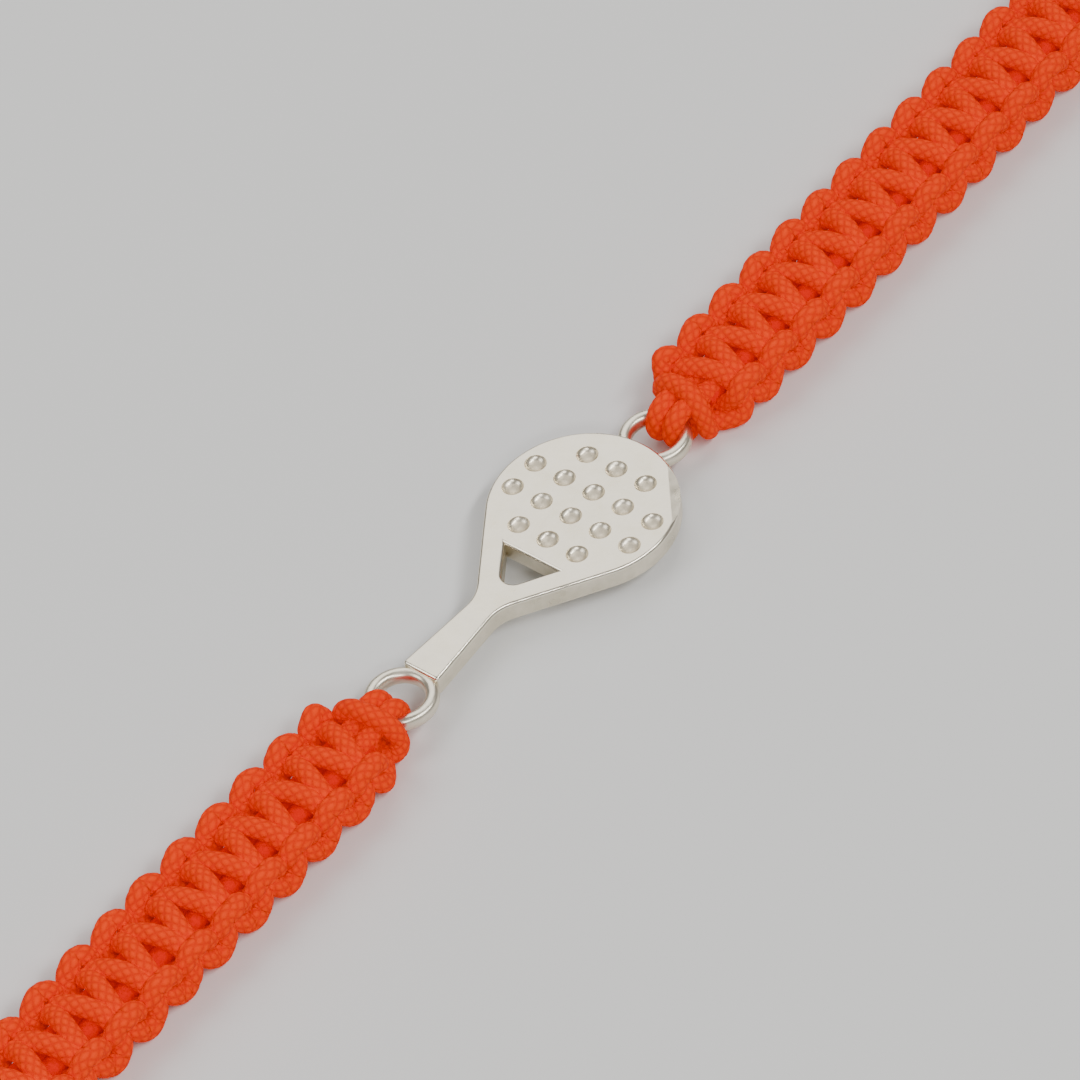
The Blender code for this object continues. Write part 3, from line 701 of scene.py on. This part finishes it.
# The knotting cord's middle, from under the ring up beside it, over the fillers, down and up
# into the first knot's raised turn: out from the first knot, across and up, in millimetres.
BIGHT = ((-0.9, 1.1, 0.55), (-1.35, 1.5, 0.7), (-1.62, 1.62, 1.25), (-1.55, 1.35, 2.0),
         (-1.35, 0.75, 2.55), (-1.2, 0.0, 2.72), (-1.15, -0.75, 2.6), (-1.1, -1.35, 2.15),
         (-1.0, -1.7, 1.45), (-0.72, -1.85, 1.3), (-0.4, -2.0, 1.85))
# The cord's other end starts below, hidden by the ring's loops.
HIDDEN = ((-0.9, 0.8, 0.5), (-0.3, 1.6, 0.5))
# A filler cord's loop through the ring: out from the ring's centre, across and up.
LOOP = ((4.3, 0.50, 1.62), (3.1, 0.52, 1.8), (2.4, 0.56, 2.0), (1.75, 0.56, 2.16),
        (1.1, 0.54, 1.98), (0.74, 0.52, 1.35), (1.0, 0.54, 0.72), (1.6, 0.56, 0.55),
        (2.4, 0.56, 0.62), (3.1, 0.52, 0.95), (4.3, 0.50, 1.25))
CORD_STEP = 0.11 * MM             # between the rings of points along a knotting cord
CORD_SIDES = 24
FILLER_STEP = 0.3 * MM
FILLER_SIDES = 14
HINGE_REACH = 2.4 * MM            # of band on each side of a hinge


class Side:
    """One half of the bracelet, measured outwards from its ring's centre."""

    def __init__(self, name):
        self.name = name
        self.way = 1 if name == "head" else -1
        self.hand = self.way          # which edge the first knot's raised turn is on
        self.ring = Vector(JOINTS[name + "_turn"]["pos_m"])
        self.bends = [abs(JOINTS[f"{name}_bend_{k}"]["pos_m"][0] - self.ring.x)
                      for k in range(1, SEGMENTS + 1)]
        self.start = self.bends[0]
        self.segment = self.bends[1] - self.bends[0]
        self.end = self.start + SEGMENTS * self.segment

    def place(self, out, across, height):
        return Vector((self.ring.x + self.way * out, self.way * across, height))

    def body(self, number):
        return f"{self.name}_band_{number}" if number else self.name + "_hitch"

    def attach(self, piece, number):
        """Ride on the last segment; a piece of any other segment stays where it is, with its
        transform baked in.
        """
        if number == SEGMENTS:
            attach(piece, self.body(number))
            return
        hinge = self.bends[number]
        self.body(number + 1)
        tuple(self.place(hinge - HINGE_REACH, 0, BAND_MIDDLE))
        tuple(self.place(hinge + HINGE_REACH, 0, BAND_MIDDLE))
        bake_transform(piece)


def cord(name, points, radius, sides, start=0.0, relief=True, thickness=None):
    """A piece of cord along points, and how much cord it ends after."""
    mesh, run = tube(points, radius, sides, start, thickness)
    if relief:
        raise_braid(mesh, bpy.context.scene.bracelet_cord)
    look = "knotting_cord" if relief else "filler_cord"
    mesh.materials.append(material(look))
    mesh.shade_smooth()
    piece = bpy.data.objects.new(name, mesh)
    bpy.context.scene.collection.objects.link(piece)
    return piece, run


def cord_piece(name, side, number, points, radius, sides, start, nodes, relief=True,
               thickness=None):
    """Part of a strand, from the middle of one segment to the middle of the next."""
    piece, run = cord(name, points, radius, sides, start, relief, thickness)
    side.attach(piece, number)
    if nodes:
        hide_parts(*nodes)
    return run


def strayed(point, sizes, seed):
    """Hand-tied knots are never quite alike."""
    slow = noise.noise_vector(point * 330.0 + Vector((seed, 0, 0)))
    quick = noise.noise_vector(point * 900.0 + Vector((0, seed, 0)))
    return point + (slow + quick * 0.5) * sizes.wander


class RACKET_OT_bands(Operator):
    """Knot the two bands round their filler cords"""
    bl_idname = "bracelet.bands"
    bl_label = "Knotted bands"

    def execute(self, context):
        sizes = context.scene.bracelet_cord
        noise.seed_set(SEED)
        half = half_knot(sizes)
        step = sizes.pitch / 2
        for name in SIDES:
            side = Side(name)
            halves = round((side.end - side.start) / step)
            for strand, turn in (("over", 1), ("under", -1)):
                places = []
                for n in range(halves):
                    flip = turn * (-1) ** n * side.hand
                    for x, y, z in half:
                        places.append(side.place(side.start + (n + 0.5) * step + x,
                                                 y * flip, BAND_MIDDLE + z * turn))
                places = [strayed(place, sizes, 3.0 * turn) for place in places]
                self.strand(side, strand, places, len(half), halves, sizes)
            self.fillers(side, sizes)
        return {'FINISHED'}

    def strand(self, side, strand, places, count, halves, sizes):
        """Cut a strand's places at the middles of the segments, and sweep each part."""
        per_segment = halves // SEGMENTS
        run = 0.0
        first = 0
        for number in range(SEGMENTS + 1):
            last = (number * per_segment + per_segment // 2) * count
            before = places[first - 1:first]
            after = places[last + 1:last + 2]
            part = places[first:last + 1]
            if number == 0:
                start = HIDDEN if strand == "over" else BIGHT
                skipped = 1 if strand == "over" else 0
                part = [side.place(side.start + out * MM, -across * side.hand * MM, height * MM)
                        for out, across, height in start] + part[skipped:]
            if number == SEGMENTS:
                part = places[first:] + self.tail(side, places[-1])
                after = []
            points = smoothed(part, CORD_STEP, before, after)
            if after:
                points.append(points[-1] * 2 - points[-2])
            thickness = [self.pinch(side, point, sizes) for point in points]
            nodes = (f"{side.name}_knots_{number}",) if number and strand == "over" else ()
            if number == 0 and strand == "under":
                nodes = (side.name + "_bight",)
            run = cord_piece(f"{side.name}_{strand}_strand_{number}", side, number, points,
                             sizes.radius, CORD_SIDES, run, nodes, True, thickness)
            first = last

    def pinch(self, side, point, sizes):
        """Cords are squeezed thinner beside the fillers, halfway up."""
        across = abs(point.y) / sizes.reach
        up = abs(point.z - BAND_MIDDLE) / sizes.rise
        beside = max(0.0, 1 - abs(across - 0.78) / 0.3) * max(0.0, 1 - up / 0.7)
        return 1 - (1 - sizes.pinch) * beside

    def tail(self, side, start):
        across = start.y * side.way
        return [side.place(side.end + out * MM, across * part, BAND_MIDDLE)
                for out, part in ((0.5, 0.75), (1.2, 0.5))]

    def fillers(self, side, sizes):
        """Two cords that loop over the ring's wire and run through every knot."""
        per_piece = self.cuts(side)
        for label, across in (("near", -1), ("far", 1)):
            aside = across * sizes.core_radius
            run = 0.0
            for number, (low, high) in enumerate(per_piece):
                steps = max(2, round((high - low) / FILLER_STEP))
                points = [side.place(low + (high - low) * i / steps, aside, BAND_MIDDLE)
                          for i in range(steps + 1)]
                nodes = ()
                if label == "near" and number:
                    nodes = (f"{side.name}_core_{number}",)
                run = cord_piece(f"{side.name}_{label}_filler_{number}", side, number, points,
                                 sizes.core_radius, FILLER_SIDES, run, nodes, False)

    def cuts(self, side):
        middles = [side.start + (k + 0.5) * side.segment for k in range(SEGMENTS)]
        edges = [side.start - 0.4 * MM] + middles + [side.end + 1.2 * MM]
        return list(zip(edges, edges[1:]))


class RACKET_OT_hitches(Operator):
    """Loop the filler cords through the two rings"""
    bl_idname = "bracelet.hitches"
    bl_label = "Hitches"

    def execute(self, context):
        sizes = context.scene.bracelet_cord
        for name in SIDES:
            side = Side(name)
            for label, sign in (("near", -1), ("far", 1)):
                points = smoothed([side.place(out * MM, sign * across * MM, height * MM)
                                   for out, across, height in LOOP], 0.12 * MM)
                piece = cord(f"{name}_{label}_loop", points, sizes.radius, CORD_SIDES)[0]
                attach(piece, side.body(0))
                if label == "near":
                    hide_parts(name + "_loops")
        return {'FINISHED'}


# Fittings ---------------------------------------------------------------------------------

class RACKET_OT_fittings(Operator):
    """Finish the end caps, the jump rings, the chain and the clasp"""
    bl_idname = "bracelet.fittings"
    bl_label = "Fittings"

    def execute(self, context):
        looks = {"head_end_cap": "polished_silver", "handle_end_cap": "polished_silver",
                 "clasp_body": "polished_silver", "clasp_lever": "polished_silver",
                 "clasp_pin": "spring_steel", "clasp_spring": "spring_steel",
                 "chain_jump_ring": "silver_wire", "clasp_jump_ring": "silver_wire",
                 "chain_tag": "polished_silver"}
        looks.update({f"chain_link_{k}": "silver_wire" for k in range(1, LINKS + 1)})
        for node, look in looks.items():
            for slot in frame["nodes"][node].material_slots:
                slot.material = material(look)
        return {'FINISHED'}


# Stage ------------------------------------------------------------------------------------

FLOOR_SIZE = 2.5
# Each lamp's name, its place, its width and height, and its power in watts.
LAMPS = (("key", (0.14, -0.56, 0.80), (0.9, 0.12), 6.0),
         ("fill", (-0.45, 0.35, 0.55), (0.4, 0.4), 1.6),
         ("card", (0.42, 0.42, 0.62), (0.62, 0.62), 2.6),
         ("front", (-0.50, -0.46, 0.52), (0.3, 0.1), 1.8))
SKY = (1.0, 0.97, 0.93, 1.0)
SKY_STRENGTH = 0.25
# The camera stands this way from the plate, turned about its own view by the roll.
HEADING, LIFT, ROLL = radians(225.8), radians(47.12), radians(10.2)
DISTANCE = 0.3686
LENS = 248.7
LOOKS_AT = Vector((-3.02 * MM, 0.3 * MM, 0))    # from the head's centre

class RACKET_OT_stage(Operator):
    """Lay the pale floor, and set the lights and the camera"""
    bl_idname = "bracelet.stage"
    bl_label = "Stage"

    def execute(self, context):
        work = bmesh.new()
        bmesh.ops.create_grid(work, x_segments=2, y_segments=2, size=FLOOR_SIZE)
        bmesh.ops.translate(work, verts=work.verts, vec=(0, 0, -0.02 * MM))
        floor = finished("floor", work, None, "pale_floor")
        for lamp in LAMPS:
            self.lamp(*lamp)
        world = bpy.data.worlds.new("studio")
        world.use_nodes = True
        sky = world.node_tree.nodes["Background"]
        sky.inputs["Color"].default_value = SKY
        sky.inputs["Strength"].default_value = SKY_STRENGTH
        context.scene.world = world
        self.camera(context)
        return {'FINISHED'}

    def lamp(self, name, place, size, power):
        data = bpy.data.lights.new(name, 'AREA')
        data.shape = 'RECTANGLE'
        data.size, data.size_y = size
        data.energy = power
        lamp = bpy.data.objects.new(name, data)
        lamp.location = place
        lamp.rotation_euler = (-Vector(place)).to_track_quat('-Z', 'Y').to_euler()
        bpy.context.scene.collection.objects.link(lamp)

    def camera(self, context):
        sizes = context.scene.bracelet_link
        target = head_centre(sizes) + LOOKS_AT
        target.z = PLATE_HIGH.z
        away = Vector((cos(HEADING) * cos(LIFT), sin(HEADING) * cos(LIFT), sin(LIFT)))
        forward = -away
        right = forward.cross(Vector((0, 0, 1))).normalized()
        up = right.cross(forward)
        tilted = right * cos(ROLL) - up * sin(ROLL)
        upright = right * sin(ROLL) + up * cos(ROLL)
        data = bpy.data.cameras.new("camera")
        data.lens = LENS
        data.sensor_width = 36
        data.clip_start = 0.01
        camera = bpy.data.objects.new("camera", data)
        camera.matrix_world = Matrix.Translation(target + away * DISTANCE) @ Matrix(
            (tilted, upright, away)).transposed().to_4x4()
        context.scene.collection.objects.link(camera)
        context.scene.camera = camera


class BRACELET_PT_panel(Panel):
    """The bracelet's pieces, in the order that they are made"""
    bl_label = "Bracelet"
    bl_idname = "BRACELET_PT_panel"
    bl_space_type = 'VIEW_3D'
    bl_region_type = 'UI'
    bl_category = "Bracelet"

    def draw(self, context):
        for group in (context.scene.bracelet_link, context.scene.bracelet_cord,
                      context.scene.bracelet_finish):
            box = self.layout.box()
            for name in group.__annotations__:
                box.prop(group, name)
        for operator in OPERATORS:
            self.layout.operator(operator.bl_idname)


GROUPS = {"bracelet_link": LinkSizes, "bracelet_cord": CordSizes, "bracelet_finish": Finish}
OPERATORS = (RACKET_OT_link, RACKET_OT_rings, RACKET_OT_bands, RACKET_OT_hitches,
             RACKET_OT_fittings, RACKET_OT_stage)


def register():
    for made in (*GROUPS.values(), *OPERATORS, BRACELET_PT_panel):
        bpy.utils.register_class(made)
    for name, group in GROUPS.items():
        setattr(bpy.types.Scene, name, PointerProperty(type=group))


def unregister():
    for name in GROUPS:
        delattr(bpy.types.Scene, name)
    for made in (BRACELET_PT_panel, *reversed(OPERATORS), *GROUPS.values()):
        bpy.utils.unregister_class(made)


def main():
    register()
    for operator in OPERATORS:
        group, name = operator.bl_idname.split(".")
        getattr(getattr(bpy.ops, group), name)()


if __name__ == "__main__":
    main()
